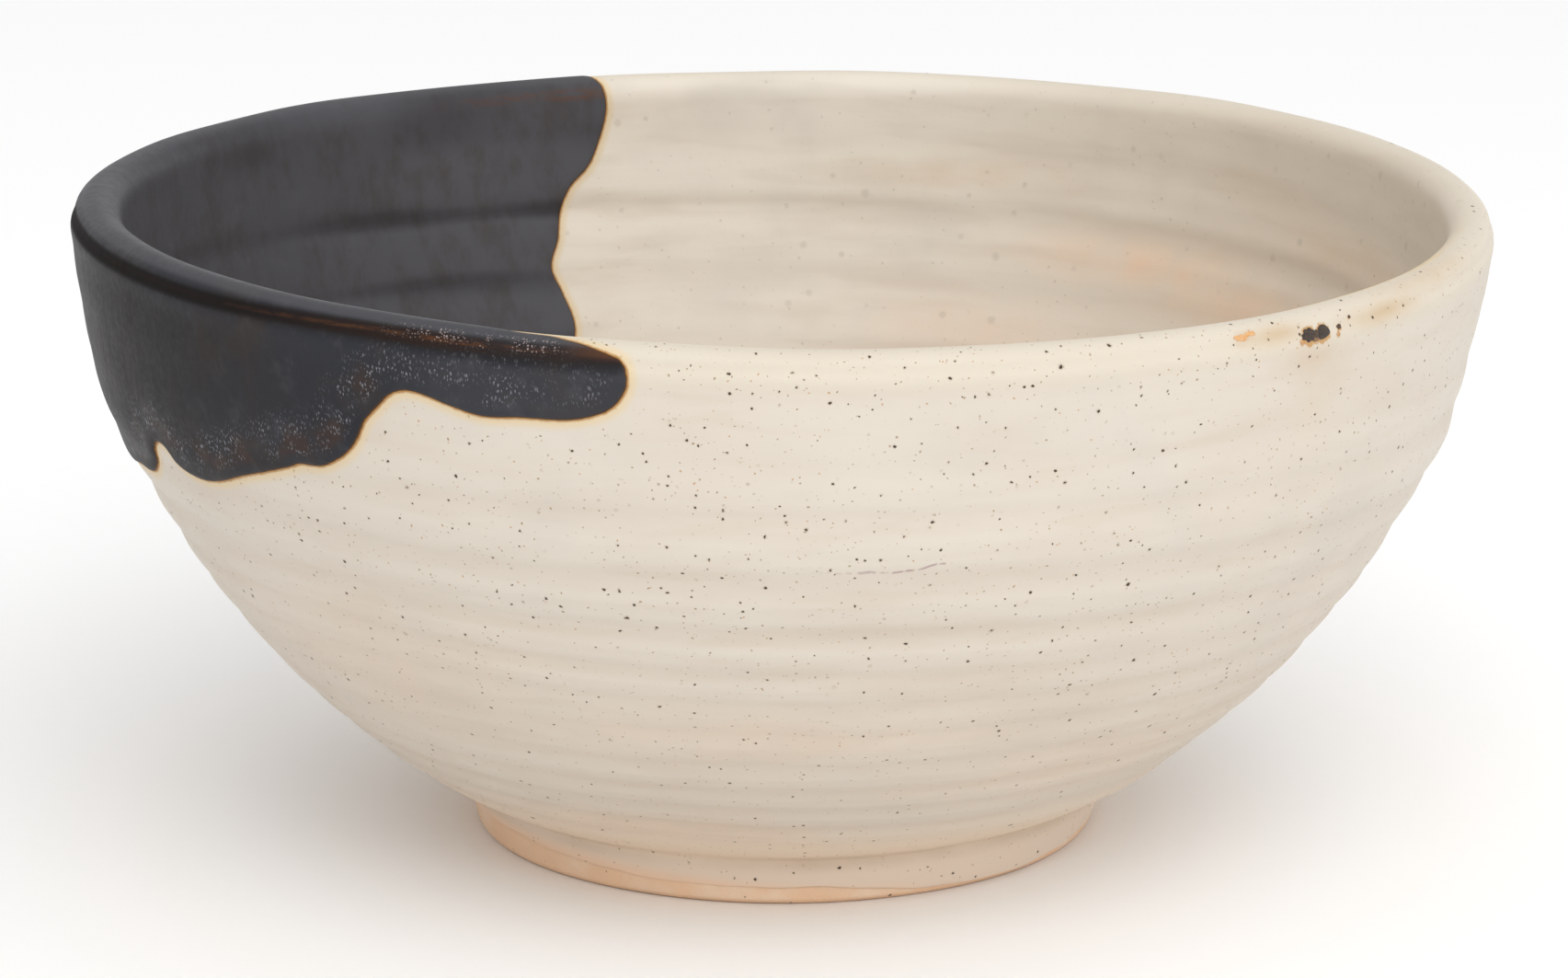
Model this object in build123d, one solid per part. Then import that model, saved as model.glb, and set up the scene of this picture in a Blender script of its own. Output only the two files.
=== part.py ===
from build123d import *
import math
import os

# A thrown and glazed matcha bowl, standing on its foot. Millimetres, +Z up.
# The origin is the centre of the foot's base. -Y is the front, and the dark glaze is on the -X side.

# Driving dimensions
BOWL_DIAMETER = 145.0
BOWL_HEIGHT = 66.0
LIP_THICKNESS = 4.9
FOOT_HEIGHT = 5.2
FOOT_TOP_RADIUS = 33.5
FOOT_BASE_RADIUS = 32.4
FOOT_INNER_RADIUS = 25.5
FOOT_INNER_TAPER = 1.0
FOOT_EDGE_ROUND = 0.9
FLOOR_HEIGHT = 10.0
GLAZE_THICKNESS = 0.5

# The glaze stops short of the foot's base and thins out there.
GLAZE_END_HEIGHT = 2.2
GLAZE_END_THICKNESS = 0.25

# The lip is a round nose between the two walls.
LIP_RADIUS = LIP_THICKNESS / 2
LIP_CENTRE_RADIUS = BOWL_DIAMETER / 2 - LIP_RADIUS
LIP_CENTRE_HEIGHT = BOWL_HEIGHT - LIP_RADIUS

# Each wall is a superellipse about the bowl's axis: from (radius, height) at its start to its top,
# the radius grows as a power of sin(t) and the height as 1 - cos(t), for t from 0 to 90 degrees.
WALL_TOP_HEIGHT = 65.6
OUTER_WALL_START = (FOOT_TOP_RADIUS, FOOT_HEIGHT)
OUTER_WALL_TOP = (72.3, WALL_TOP_HEIGHT)
OUTER_WALL_POWER = 1.65
INNER_WALL_START = (0.0, FLOOR_HEIGHT)
INNER_WALL_TOP = (BOWL_DIAMETER / 2 - LIP_THICKNESS, WALL_TOP_HEIGHT)
INNER_WALL_POWER = 0.85

# Corners of the section, as (radius, height): the edge of the seat under the bowl, where the clay of
# the wall starts above it, the clay at mid-floor, and the lip's crown on the glaze and on the clay
SEAT_EDGE = (FOOT_TOP_RADIUS - GLAZE_THICKNESS, FOOT_HEIGHT)
UNDER_WALL = (SEAT_EDGE[0], FOOT_HEIGHT + GLAZE_THICKNESS)
CLAY_FLOOR = (0.0, FLOOR_HEIGHT - GLAZE_THICKNESS)
LIP_CROWN = (LIP_CENTRE_RADIUS, BOWL_HEIGHT)
CLAY_CROWN = (LIP_CENTRE_RADIUS, BOWL_HEIGHT - GLAZE_THICKNESS)

# Throwing rings: ridges left by the fingers. Outside they are wider apart towards the lip.
OUTER_RINGS = 12
FIRST_OUTER_PITCH = 2.7
OUTER_PITCH_GROWTH = 1.085
OUTER_RING_RELIEF = 0.1
INNER_RINGS = 8
INNER_RING_PITCH_ANGLE = 8.9
INNER_RING_RELIEF = 0.15

# Lower edge of the dark glaze outside, as (x, z) seen from the front, from the end of its tongue
# to the bowl's left side. It hangs in lobes, with a notch between two of them.
FRONT_GLAZE_EDGE = [
    (-14.4, 63.0),
    (-16.5, 59.4),
    (-26.0, 58.6),
    (-34.8, 60.2),
    (-38.6, 57.0),
    (-42.5, 51.3),
    (-49.0, 49.2),
    (-56.5, 45.8),
    (-60.4, 47.6),
    (-62.6, 44.6),
    (-66.0, 43.4),
    (-69.5, 43.6),
]
# The same edge round the back
BACK_GLAZE_EDGE = [
    (-23.4, 63.0),
    (-27.5, 58.2),
    (-37.0, 54.6),
    (-50.0, 48.4),
    (-61.0, 45.4),
    (-69.5, 43.6),
]
# Edge of the dark glaze inside, as (x, z) in a section across the bowl, which is turned a little
# about the axis, so that the edge meets the lip further round at the front than at the back
INNER_GLAZE_EDGE = [
    (-26.2, 63.0),
    (-27.6, 55.5),
    (-31.2, 46.0),
    (-28.4, 38.0),
    (-30.0, 27.0),
    (-27.0, 16.0),
    (-29.0, 6.0),
]
INNER_EDGE_TURN = -4.9
CUTTER_REACH = 80.0

# Iron spots let into the glaze by the lip: (degrees round the axis, height, width, height of spot).
# The first two run together.
IRON_SPOTS = [
    (-47.5, 63.3, 1.7, 1.3),
    (-46.4, 63.2, 1.4, 1.1),
    (-44.0, 63.5, 0.9, 0.8),
    (-54.0, 63.9, 1.5, 1.0),
]
SPOT_DEPTH = 0.3
SPOT_PROUD = 0.15


def wall_point(t, start, top, power):
    """The (radius, height) of a wall's smooth curve at angle t."""
    radius = start[0] + (top[0] - start[0]) * math.sin(t) ** power
    height = start[1] + (top[1] - start[1]) * (1 - math.cos(t))
    return radius, height


def beside_wall(t, distance, start, top, power):
    """The wall's point at angle t, moved by distance square to the wall, away from the axis."""
    step = 1e-4
    before = wall_point(t - step, start, top, power)
    after = wall_point(t + step, start, top, power)
    along_radius = after[0] - before[0]
    along_height = after[1] - before[1]
    length = math.hypot(along_radius, along_height)
    radius, height = wall_point(t, start, top, power)
    return radius + distance * along_height / length, height - distance * along_radius / length


def scallops(points):
    """Arcs through a run of points: each starts and ends on every second point, past one between."""
    return [ThreePointArc(*points[i : i + 3]) for i in range(0, len(points) - 2, 2)]


def outer_wall(inset):
    """The outer wall's rings from the foot to the lip, at a depth into the wall. Each ring is an arc."""
    wall = (OUTER_WALL_START, OUTER_WALL_TOP, OUTER_WALL_POWER)
    full_rise = WALL_TOP_HEIGHT - FOOT_HEIGHT
    points = [(FOOT_TOP_RADIUS - inset, FOOT_HEIGHT + inset)]
    rise = 0.0
    pitch = FIRST_OUTER_PITCH
    for ring in range(OUTER_RINGS):
        crest = math.acos(1 - (rise + pitch / 2) / full_rise)
        valley = math.acos(1 - (rise + pitch) / full_rise)
        points.append(beside_wall(crest, OUTER_RING_RELIEF - inset, *wall))
        points.append(beside_wall(valley, -OUTER_RING_RELIEF - inset, *wall))
        rise += pitch
        pitch *= OUTER_PITCH_GROWTH
    lip_rise = LIP_CENTRE_HEIGHT - FOOT_HEIGHT
    under_lip = math.acos(1 - (rise + lip_rise) / 2 / full_rise)
    points.append(beside_wall(under_lip, -inset, *wall))
    points.append((BOWL_DIAMETER / 2 - inset, LIP_CENTRE_HEIGHT))
    return scallops(points)


def inner_wall(inset):
    """The inner wall's rings from mid-floor to the lip, at a depth into the wall. Each is an arc."""
    wall = (INNER_WALL_START, INNER_WALL_TOP, INNER_WALL_POWER)
    points = [(0, FLOOR_HEIGHT - inset)]
    for half_ring in range(1, 2 * INNER_RINGS + 1):
        angle = math.radians(half_ring * INNER_RING_PITCH_ANGLE / 2)
        relief = INNER_RING_RELIEF if half_ring % 2 else -INNER_RING_RELIEF
        points.append(beside_wall(angle, inset + relief, *wall))
    lip_angle = math.acos(1 - (LIP_CENTRE_HEIGHT - FLOOR_HEIGHT) / (WALL_TOP_HEIGHT - FLOOR_HEIGHT))
    under_lip = (angle + lip_angle) / 2
    points.append(beside_wall(under_lip, inset, *wall))
    points.append((BOWL_DIAMETER / 2 - LIP_THICKNESS + inset, LIP_CENTRE_HEIGHT))
    return scallops(points)


def lip_arc(inset, side):
    """A quarter of the lip's nose, from its crown to the outer wall (side 1) or the inner (-1)."""
    radius = LIP_RADIUS - inset
    diagonal = radius / math.sqrt(2)
    crown = (LIP_CENTRE_RADIUS, LIP_CENTRE_HEIGHT + radius)
    middle = (LIP_CENTRE_RADIUS + side * diagonal, LIP_CENTRE_HEIGHT + diagonal)
    end = (LIP_CENTRE_RADIUS + side * radius, LIP_CENTRE_HEIGHT)
    return ThreePointArc(crown, middle, end)


def turned(*edges):
    """The solid made by turning a closed outline of (radius, height) edges about the axis."""
    outline = make_face(Curve() + [*edges])
    return revolve(Plane.XZ * outline, Axis.Z)


def foot_clay_radius(height):
    """The radius of the clay's outer face on the foot, which widens from its base to the bowl."""
    share = (height - FOOT_EDGE_ROUND) / (FOOT_HEIGHT - FOOT_EDGE_ROUND)
    return FOOT_BASE_RADIUS + (SEAT_EDGE[0] - FOOT_BASE_RADIUS) * share


def thrown_bowl():
    """The stoneware wall and floor, thrown in one piece, with a flat seat for the foot ring."""
    return turned(
        *inner_wall(GLAZE_THICKNESS),
        lip_arc(GLAZE_THICKNESS, -1),
        lip_arc(GLAZE_THICKNESS, 1),
        *outer_wall(GLAZE_THICKNESS),
        Line(UNDER_WALL, SEAT_EDGE),
        Line(SEAT_EDGE, (0, FOOT_HEIGHT)),
        Line((0, FOOT_HEIGHT), CLAY_FLOOR),
    )


def foot_ring():
    """The turned foot, a ring luted to the seat under the bowl, with both base edges rounded."""
    base = (FOOT_BASE_RADIUS, FOOT_EDGE_ROUND)
    inner_top = (FOOT_INNER_RADIUS - FOOT_INNER_TAPER, FOOT_HEIGHT)
    inner_base = (FOOT_INNER_RADIUS, FOOT_EDGE_ROUND)
    base_outer = (base[0] - FOOT_EDGE_ROUND, 0)
    base_inner = (inner_base[0] + FOOT_EDGE_ROUND, 0)
    return turned(
        Line(SEAT_EDGE, base),
        RadiusArc(base, base_outer, FOOT_EDGE_ROUND),
        Line(base_outer, base_inner),
        RadiusArc(base_inner, inner_base, FOOT_EDGE_ROUND),
        Line(inner_base, inner_top),
        Line(inner_top, SEAT_EDGE),
    )


def outside_coat():
    """The glaze coat outside, whatever its colour, from the lip's crown down onto the foot."""
    clay_end = (foot_clay_radius(GLAZE_END_HEIGHT), GLAZE_END_HEIGHT)
    coat_end = (clay_end[0] + GLAZE_END_THICKNESS, GLAZE_END_HEIGHT)
    return turned(
        *outer_wall(0),
        lip_arc(0, 1),
        Line(LIP_CROWN, CLAY_CROWN),
        lip_arc(GLAZE_THICKNESS, 1),
        *outer_wall(GLAZE_THICKNESS),
        Line(UNDER_WALL, SEAT_EDGE),
        Line(SEAT_EDGE, clay_end),
        Line(clay_end, coat_end),
        Line(coat_end, OUTER_WALL_START),
    )


def inside_coat():
    """The glaze coat inside, whatever its colour, from the lip's crown down over the floor."""
    return turned(
        *inner_wall(0),
        lip_arc(0, -1),
        Line(LIP_CROWN, CLAY_CROWN),
        lip_arc(GLAZE_THICKNESS, -1),
        *inner_wall(GLAZE_THICKNESS),
        Line(CLAY_FLOOR, INNER_WALL_START),
    )


def dark_outline(edge):
    """The face, in the XZ plane, that lies left of and above an edge that starts under the lip."""
    above = (edge[0][0], CUTTER_REACH)
    far_above = (-CUTTER_REACH, CUTTER_REACH)
    far = (-CUTTER_REACH, edge[-1][1])
    sides = Polyline(edge[0], above, far_above, far, edge[-1])
    return Plane.XZ * make_face(Spline(edge) + sides)


def outside_dark_region():
    """The space where the coat outside is dark: one curtain for the front and one for the back."""
    front = extrude(dark_outline(FRONT_GLAZE_EDGE), CUTTER_REACH)
    back = extrude(dark_outline(BACK_GLAZE_EDGE), -CUTTER_REACH)
    return front + back


def inside_dark_region():
    """The space where the coat inside is dark: everything to the left of the inner edge."""
    region = extrude(dark_outline(INNER_GLAZE_EDGE), CUTTER_REACH, both=True)
    return Rot(0, 0, INNER_EDGE_TURN) * region


def iron_spots():
    """Round plugs of melted iron that stand a little proud of the coat, each on its own axis."""
    spots = Part()
    for angle, height, width, tall in IRON_SPOTS:
        face = Plane.YZ * Ellipse(width / 2, tall / 2)
        plug = extrude(face, SPOT_DEPTH + SPOT_PROUD)
        spots += Rot(0, 0, angle) * Pos(BOWL_DIAMETER / 2 - SPOT_DEPTH, 0, height) * plug
    return spots


def build():
    """Every node of the bowl, by name."""
    spots = iron_spots()
    outside = outside_coat() - spots
    inside = inside_coat()
    outside_dark = outside_dark_region()
    inside_dark = inside_dark_region()
    return {
        "thrown_bowl": thrown_bowl(),
        "foot_ring": foot_ring(),
        "inside_cream_glaze": inside - inside_dark,
        "outside_cream_glaze": outside - outside_dark,
        "dark_glaze": (outside & outside_dark) + (inside & inside_dark),
        "iron_spots": spots,
    }


os.makedirs("parts", exist_ok=True)
for name, shape in build().items():
    export_step(shape, f"parts/{name}.step")
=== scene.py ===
import math
import random

import bmesh
import bpy
import numpy as np
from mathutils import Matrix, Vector
from mathutils.kdtree import KDTree


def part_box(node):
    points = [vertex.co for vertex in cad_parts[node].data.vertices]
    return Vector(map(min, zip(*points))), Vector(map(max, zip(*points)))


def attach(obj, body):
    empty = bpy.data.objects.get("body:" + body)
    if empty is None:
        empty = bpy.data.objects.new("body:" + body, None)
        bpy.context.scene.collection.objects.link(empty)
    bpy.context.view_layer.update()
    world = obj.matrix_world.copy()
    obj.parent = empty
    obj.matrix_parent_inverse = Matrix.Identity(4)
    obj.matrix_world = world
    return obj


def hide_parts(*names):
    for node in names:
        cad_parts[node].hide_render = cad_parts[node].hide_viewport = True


# A thrown matcha bowl in speckled cream glaze, with a dark glaze poured over its left side.
# Lengths are millimetres, except where the studio is set up in metres. Angles in the tables are
# degrees round the bowl's axis, counter-clockwise seen from above: 0 is +X, and the front, -Y, is
# 270. Functions take angles in radians unless they say degrees.

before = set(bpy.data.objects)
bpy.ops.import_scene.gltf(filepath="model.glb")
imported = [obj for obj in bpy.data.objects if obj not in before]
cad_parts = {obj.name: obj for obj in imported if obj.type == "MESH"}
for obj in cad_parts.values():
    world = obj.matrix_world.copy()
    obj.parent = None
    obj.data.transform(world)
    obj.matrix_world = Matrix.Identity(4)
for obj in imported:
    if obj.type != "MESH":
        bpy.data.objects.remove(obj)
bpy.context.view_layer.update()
MM = 0.001


def cad_box(node):
    """The lowest and highest corners of a CAD node, in millimetres."""
    return [np.array(corner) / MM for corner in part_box(node)]


# ---- sizes from the frame
COAT = 0.5
RIM_RADIUS = cad_box("outside_cream_glaze")[1][0]
LIP_TOP = cad_box("outside_cream_glaze")[1][2]
FOOT_TOP = cad_box("thrown_bowl")[0][2]
FOOT_CLAY_RADIUS = cad_box("foot_ring")[1][0]
FLOOR = cad_box("inside_cream_glaze")[0][2] + COAT

# ---- the glazed surface's section
LIP_RADIUS = 2.45
FOOT_GLAZE_RADIUS = FOOT_CLAY_RADIUS + COAT
FOOT_BASE_GLAZE_RADIUS = FOOT_GLAZE_RADIUS - 0.9
OUTER_POWER = 1.65
INNER_POWER = 0.85
WALL_TOP = LIP_TOP - 0.4
OUTER_TOP_RADIUS = RIM_RADIUS - 0.2
INNER_TOP_RADIUS = RIM_RADIUS - 2 * LIP_RADIUS
# Slow swells of the outer wall: (height, how far it stands out, how far it reaches up and down)
SWELLS = [
    (63.5, 0.22, 1.3), (55, -0.16, 4), (45, 0.2, 3.6), (36, -0.3, 4.5),
    (26, -0.2, 5), (14, -0.16, 3.5), (8.4, 0.1, 1.8),
]
# Where the wall leans towards the right: (height, how far, reach)
LEANS = [(51, -0.38, 7), (38, -0.12, 5), (28, -0.1, 6), (8.6, 0.35, 2)]
# A shallow groove under the lip, and a deeper crease in it round the dark glaze's middle
LIP_GROOVE_WAY, LIP_GROOVE_DEPTH, LIP_GROOVE_REACH = 3.1, 0.16, 0.7
CREASE_MIDDLE, CREASE_WAY, CREASE_DEPTH = 215, 2.9, 0.2
# Above the foot's top, how far the swells and leans take to reach their full size
FOOT_FADE = 1.5
# How many points draw a wall and the lip, before the section is spaced evenly and softened
WALL_POINTS, LIP_POINTS = 4000, 400
SECTION_STEP = 0.05
SECTION_SOFTNESS = 0.3


def bell(value, place, reach):
    """1 at a place, falling smoothly to nothing a few reaches away."""
    return np.exp(-(((value - place) / reach) ** 2))


def progress(value, low, high):
    """How far value has come from low to high, held between 0 and 1."""
    return np.clip((value - low) / (high - low), 0, 1)


def eased(share):
    """A share from 0 to 1, easing in and out."""
    return share * share * (3 - 2 * share)


def turned(radius, height, angle):
    """Points at a radius and height, turned round the axis."""
    across, back = radius * np.cos(angle), radius * np.sin(angle)
    return np.stack(np.broadcast_arrays(across, back, height), -1)


def superellipse(start, top, power):
    """Points of a wall: the radius grows as a power of sin(t), the height as 1 - cos(t)."""
    t = np.linspace(0, math.pi / 2, WALL_POINTS)
    radius = start[0] + (top[0] - start[0]) * np.sin(t) ** power
    height = start[1] + (top[1] - start[1]) * (1 - np.cos(t))
    return np.column_stack([radius, height])


def swell_out(wall):
    """Moves the outer wall's points in or out by the swells, fading to nothing at the foot."""
    off_foot = progress(wall[:, 1], FOOT_TOP, FOOT_TOP + FOOT_FADE)
    for height, proud, reach in SWELLS:
        wall[:, 0] += proud * bell(wall[:, 1], height, reach) * off_foot
    return wall


def soften(values, beyond):
    """Smooths evenly spaced values. They go on evenly before the first, and past the last they are
    mirrored and multiplied by beyond, which is -1 for a radius, as it changes sign at the axis."""
    reach = int(4 * SECTION_SOFTNESS / SECTION_STEP)
    steps = np.arange(-reach, reach + 1) * SECTION_STEP / SECTION_SOFTNESS
    kernel = np.exp(-0.5 * steps**2)
    before = 2 * values[0] - values[reach:0:-1]
    after = beyond * values[-2 : -reach - 2 : -1]
    return np.convolve(np.concatenate([before, values, after]), kernel / kernel.sum(), "valid")


def bowl_section():
    """The glazed surface's section as arrays: way, radius, height, and the normal's two parts.
    The way is measured along the surface from the lip's crown: positive outside, negative inside."""
    lip_centre = np.array([RIM_RADIUS - LIP_RADIUS, LIP_TOP - LIP_RADIUS])
    start = (FOOT_GLAZE_RADIUS, FOOT_TOP)
    outer = swell_out(superellipse(start, (OUTER_TOP_RADIUS, WALL_TOP), OUTER_POWER))
    inner = superellipse((0, FLOOR), (INNER_TOP_RADIUS, WALL_TOP), INNER_POWER)
    outer, inner = (wall[wall[:, 1] < lip_centre[1]] for wall in (outer, inner))
    angle = np.linspace(0, math.pi, LIP_POINTS)
    lip = lip_centre + LIP_RADIUS * np.column_stack([np.cos(angle), np.sin(angle)])
    foot = np.array([(FOOT_BASE_GLAZE_RADIUS, 0), start])
    line = np.vstack([foot, outer, lip, inner[::-1]])
    length = np.concatenate([[0], np.cumsum(np.hypot(*np.diff(line, axis=0).T))])
    apart = np.concatenate([[True], np.diff(length) > 1e-6])
    even = np.arange(0, length[-1], SECTION_STEP)
    radius = soften(np.interp(even, length[apart], line[apart, 0]), -1)
    height = soften(np.interp(even, length[apart], line[apart, 1]), 1)
    along_r, along_z = np.gradient(radius), np.gradient(height)
    size = np.hypot(along_r, along_z)
    way = even[np.argmax(height)] - even
    return [v[::-1] for v in (way, radius, height, along_z / size, -along_r / size)]


WAY, RADIUS, HEIGHT, NORMAL_R, NORMAL_Z = bowl_section()
FLOOR_WAY = WAY[0]
OUTSIDE = WAY > 3


def section_at(way):
    """The section's radius and height at a way."""
    return np.interp(way, WAY, RADIUS), np.interp(way, WAY, HEIGHT)


def outside_way(height):
    """The way from the crown to a height on the outer wall."""
    return np.interp(height, HEIGHT[OUTSIDE][::-1], WAY[OUTSIDE][::-1])


# ---- throwing rings and hand marks
# Valleys between the rings outside, at the front: (height, depth)
OUTER_VALLEYS = [
    (4.4, 0), (8.6, 0.06), (11.4, 0.07), (14.4, 0.075), (17.2, 0.08), (20.6, 0.1), (24.8, 0.11),
    (28.6, 0.12), (32, 0.14), (36.6, 0.18), (42.3, 0.175), (49, 0.1), (54.5, 0.04), (60, 0),
]
# Grooves inside, at the back: (way, depth)
INNER_GROOVES = [
    (-96, 0), (-88, 0.11), (-80, 0.12), (-72, 0.13), (-64, 0.12), (-56, 0.1),
    (-48, 0.1), (-40, 0.09), (-32, 0.09), (-24, 0.07), (-16.2, 0.17), (-8, 0.04), (0, 0),
]
OUTER_SHARPNESS = 1.4
INNER_SHARPNESS = 2.2
LUMP_HEIGHT = 0.035
LUMP_COUNT = 14
LUMP_SHORTEST, LUMP_LONGEST = 9, 30
# The rings climb towards one angle, and are shallower round another: (degrees, narrowness)
RINGS_CLIMB, RINGS_FLATTER = (289, 6), (214, 12)
FLATTER_BY = 0.42


def near_angle(angle, degrees, narrowness):
    """1 at an angle round the bowl, given in degrees, falling smoothly away from it."""
    return np.exp(narrowness * (np.cos(angle - math.radians(degrees)) - 1))


def rings(position, angle, grooves, sharpness, rise=0):
    """Height of a spiral of throwing rings. One turn of the spiral moves on by one groove. Rise is
    how far the rings are moved up, as a share of a groove."""
    place, depths = np.array(grooves).T
    depth = np.interp(position, place, depths)
    order = np.interp(position, place, np.arange(len(grooves), 0, -1))
    turn = (angle + math.pi / 2) / math.tau
    wander = -0.14 * np.cos(angle) + 0.07 * np.cos(2 * angle) + 0.05 * np.sin(2 * angle - order)
    phase = order - turn + wander + rise
    strength = 1 + 0.3 * np.sin(angle + 0.9 * order) + 0.2 * np.sin(3 * angle + 2.1 * order + 1)
    valley = (0.5 + 0.5 * np.cos(math.tau * phase)) ** sharpness
    fine = 0.08 * np.sin(math.tau * 3 * phase + 1.2 * np.sin(2 * angle + order))
    return depth * strength * (0.8 - 1.8 * valley + fine)


def lump_waves():
    """Slow waves with random directions and lengths, for the unevenness of a hand-made surface."""
    draw = random.Random(11)
    waves = []
    for _ in range(LUMP_COUNT):
        direction = Vector((draw.gauss(0, 1), draw.gauss(0, 1), draw.gauss(0, 1))).normalized()
        length = draw.uniform(LUMP_SHORTEST, LUMP_LONGEST)
        waves.append((np.array(direction) * math.tau / length, draw.uniform(0, 6)))
    return waves


LUMPS = lump_waves()


def relief(angle, way):
    """How far the surface stands off its smooth section."""
    radius, height = section_at(way)
    rise = near_angle(angle, *RINGS_CLIMB) * np.clip(height / 190, 0.06, 0.24)
    outer = rings(height, angle, OUTER_VALLEYS, OUTER_SHARPNESS, rise) * (way > 0)
    outer = outer * (1 - FLATTER_BY * near_angle(angle, *RINGS_FLATTER))
    inner = rings(way, -angle, INNER_GROOVES, INNER_SHARPNESS) * (way <= 0)
    point = turned(radius, height, angle)
    lumps = sum(np.sin(point @ wave + start) for wave, start in LUMPS) * LUMP_HEIGHT
    lumps = lumps * 2 / math.sqrt(LUMP_COUNT)
    off_centre = progress(radius, 0, 10) ** 2
    off_foot = progress(height, FOOT_TOP, FOOT_TOP + 2) * (way > 0) + (way <= 0)
    groove = -LIP_GROOVE_DEPTH * bell(way, LIP_GROOVE_WAY, LIP_GROOVE_REACH)
    left = (0.5 + 0.5 * np.cos(angle - math.radians(CREASE_MIDDLE))) ** 4
    crease = CREASE_DEPTH * left * bell(way, CREASE_WAY, LIP_GROOVE_REACH)
    groove = groove * (1 + 0.4 * np.sin(angle + 2)) - crease
    return (outer + inner + lumps * (0.3 + 0.7 * off_foot)) * off_centre + groove


def rim_wave(angle):
    """How far the rim rises: more on the left, less on the right, with a bump at the back."""
    bump = 0.4 * near_angle(angle, 42, 5)
    return bump - 0.8 * np.cos(angle) + 0.2 * np.cos(2 * angle) + 0.28 * np.sin(2 * angle)


def lean(height, way):
    """How far the outer wall stands towards the right at a height."""
    total = sum(far * bell(height, place, reach) for place, far, reach in LEANS)
    return total * progress(height, FOOT_TOP, FOOT_TOP + FOOT_FADE) * progress(way, 3, 7)


def surface(angle, way, lift=0):
    """Points of the glazed surface, raised by lift."""
    angle, way = np.broadcast_arrays(angle, way)
    radius, height = section_at(way)
    proud = relief(angle, way) + lift
    rise = eased(progress(height, FOOT_TOP, LIP_TOP))
    out = radius + np.interp(way, WAY, NORMAL_R) * proud + lean(height, way) * np.cos(angle)
    return turned(out, height + np.interp(way, WAY, NORMAL_Z) * proud + rim_wave(angle) * rise, angle)


def surface_normals(angle, way):
    """Unit normals of the glazed surface."""
    turn, step = 0.002, 0.1
    across = surface(angle + turn, way) - surface(angle - turn, way)
    along = surface(angle, way + step) - surface(angle, way - step)
    normal = np.cross(along, across)
    return normal / np.linalg.norm(normal, axis=-1, keepdims=True)


# ---- where the dark glaze ends
# Its edge outside as (angle, height), from the tip of its tongue at the front, leftwards and
# round the back to the lip. It hangs in lobes, with a sharp notch between two of them.
OUTSIDE_EDGE = [
    (258.7, 63), (258.3, 61.4), (257.2, 59.9), (255.4, 59), (253.5, 58.6), (250.5, 58.5),
    (247.5, 58.2), (244.8, 58.8), (243, 59.4), (241.2, 59.7), (239.7, 59.1), (238.3, 57.5),
    (237, 55.9), (236.1, 54), (235.1, 52.6), (233.8, 51.5), (232, 50.5), (229.8, 50.25),
    (228.4, 49.6), (225.3, 48.4), (222.3, 47.3), (218.9, 45.9), (216, 45.15), (213.4, 45.1),
    (211.6, 45.6), (210.8, 46.5), (210, 47.2), (208.7, 47.2), (207.6, 46.2), (206.6, 44.7),
    (205, 43.3), (203, 42.7), (200, 42.6), (196, 41.9), (190, 42), (184, 43.6),
    (178, 43), (171, 41.8), (164, 43.2), (158, 45.6), (154, 46.2), (149, 44.6),
    (143, 45.8), (137, 48.8), (131, 50.2), (126, 50.6), (121, 53.6), (116, 56.2),
    (111.5, 58.4), (109.3, 61), (108.6, 63.4),
]
# The same edge over the lip at the back and down inside, as (angle, way), across the floor to the
# front, and up to the lip there
INSIDE_EDGE = [
    (108.5, 0.4), (107.6, -2.3), (107.4, -5), (108.1, -8), (109.4, -11.1), (111.6, -13.6),
    (112.8, -16.6), (113.4, -19.4), (114.4, -22.3), (113.6, -25.6), (113, -30), (115.5, -36),
    (120.5, -44), (126.5, -53), (133, -60), (143, -67.5), (160, -72), (180, -73),
    (198, -71.5), (212, -67), (224, -58), (232, -49), (236.5, -41), (240, -33),
    (241.5, -25), (243.4, -18), (243, -11), (244, -6), (244.6, -3),
]
# And along the top of the lip to the tongue's tip, as (angle, way)
LIP_EDGE = [
    (246.2, -1.5), (248, -0.6), (250, 0), (252.2, 0.2), (253.6, 0.7), (255, 1.15),
    (256.3, 1.7), (257.4, 2.15), (258.3, 2.75),
]
EDGE_STEPS = 12


def edge_loop():
    """The dark glaze's edge as a closed smooth curve through its points, as (degrees, way) rows."""
    outside = [(angle, float(outside_way(height))) for angle, height in OUTSIDE_EDGE]
    points = np.array(outside + INSIDE_EDGE + LIP_EDGE)
    before, after, beyond = (np.roll(points, shift, axis=0) for shift in (1, -1, -2))
    t = np.linspace(0, 1, EDGE_STEPS, endpoint=False)[None, :, None]
    p0, p1, p2, p3 = (p[:, None, :] for p in (before, points, after, beyond))
    curve = p1 + 0.5 * t * (p2 - p0 + t * (2 * p0 - 5 * p1 + 4 * p2 - p3))
    curve = curve + 0.5 * t**3 * (3 * (p1 - p2) + p3 - p0)
    return curve.reshape(-1, 2)


EDGE = edge_loop()


def inside_edge(angles, ways):
    """Whether each grid point lies in the dark glaze. Angles are degrees, one for each column."""
    ends = np.roll(EDGE, -1, axis=0)
    dark = np.zeros(ways.shape, bool)
    for column, angle in enumerate(np.mod(angles, 360)):
        crosses = (EDGE[:, 0] <= angle) != (ends[:, 0] <= angle)
        start, end = EDGE[crosses], ends[crosses]
        share = (angle - start[:, 0]) / (end[:, 0] - start[:, 0])
        crossing = start[:, 1] + share * (end[:, 1] - start[:, 1])
        dark[column] = (crossing[:, None] > ways[column][None, :]).sum(0) % 2 == 1
    return dark


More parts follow.
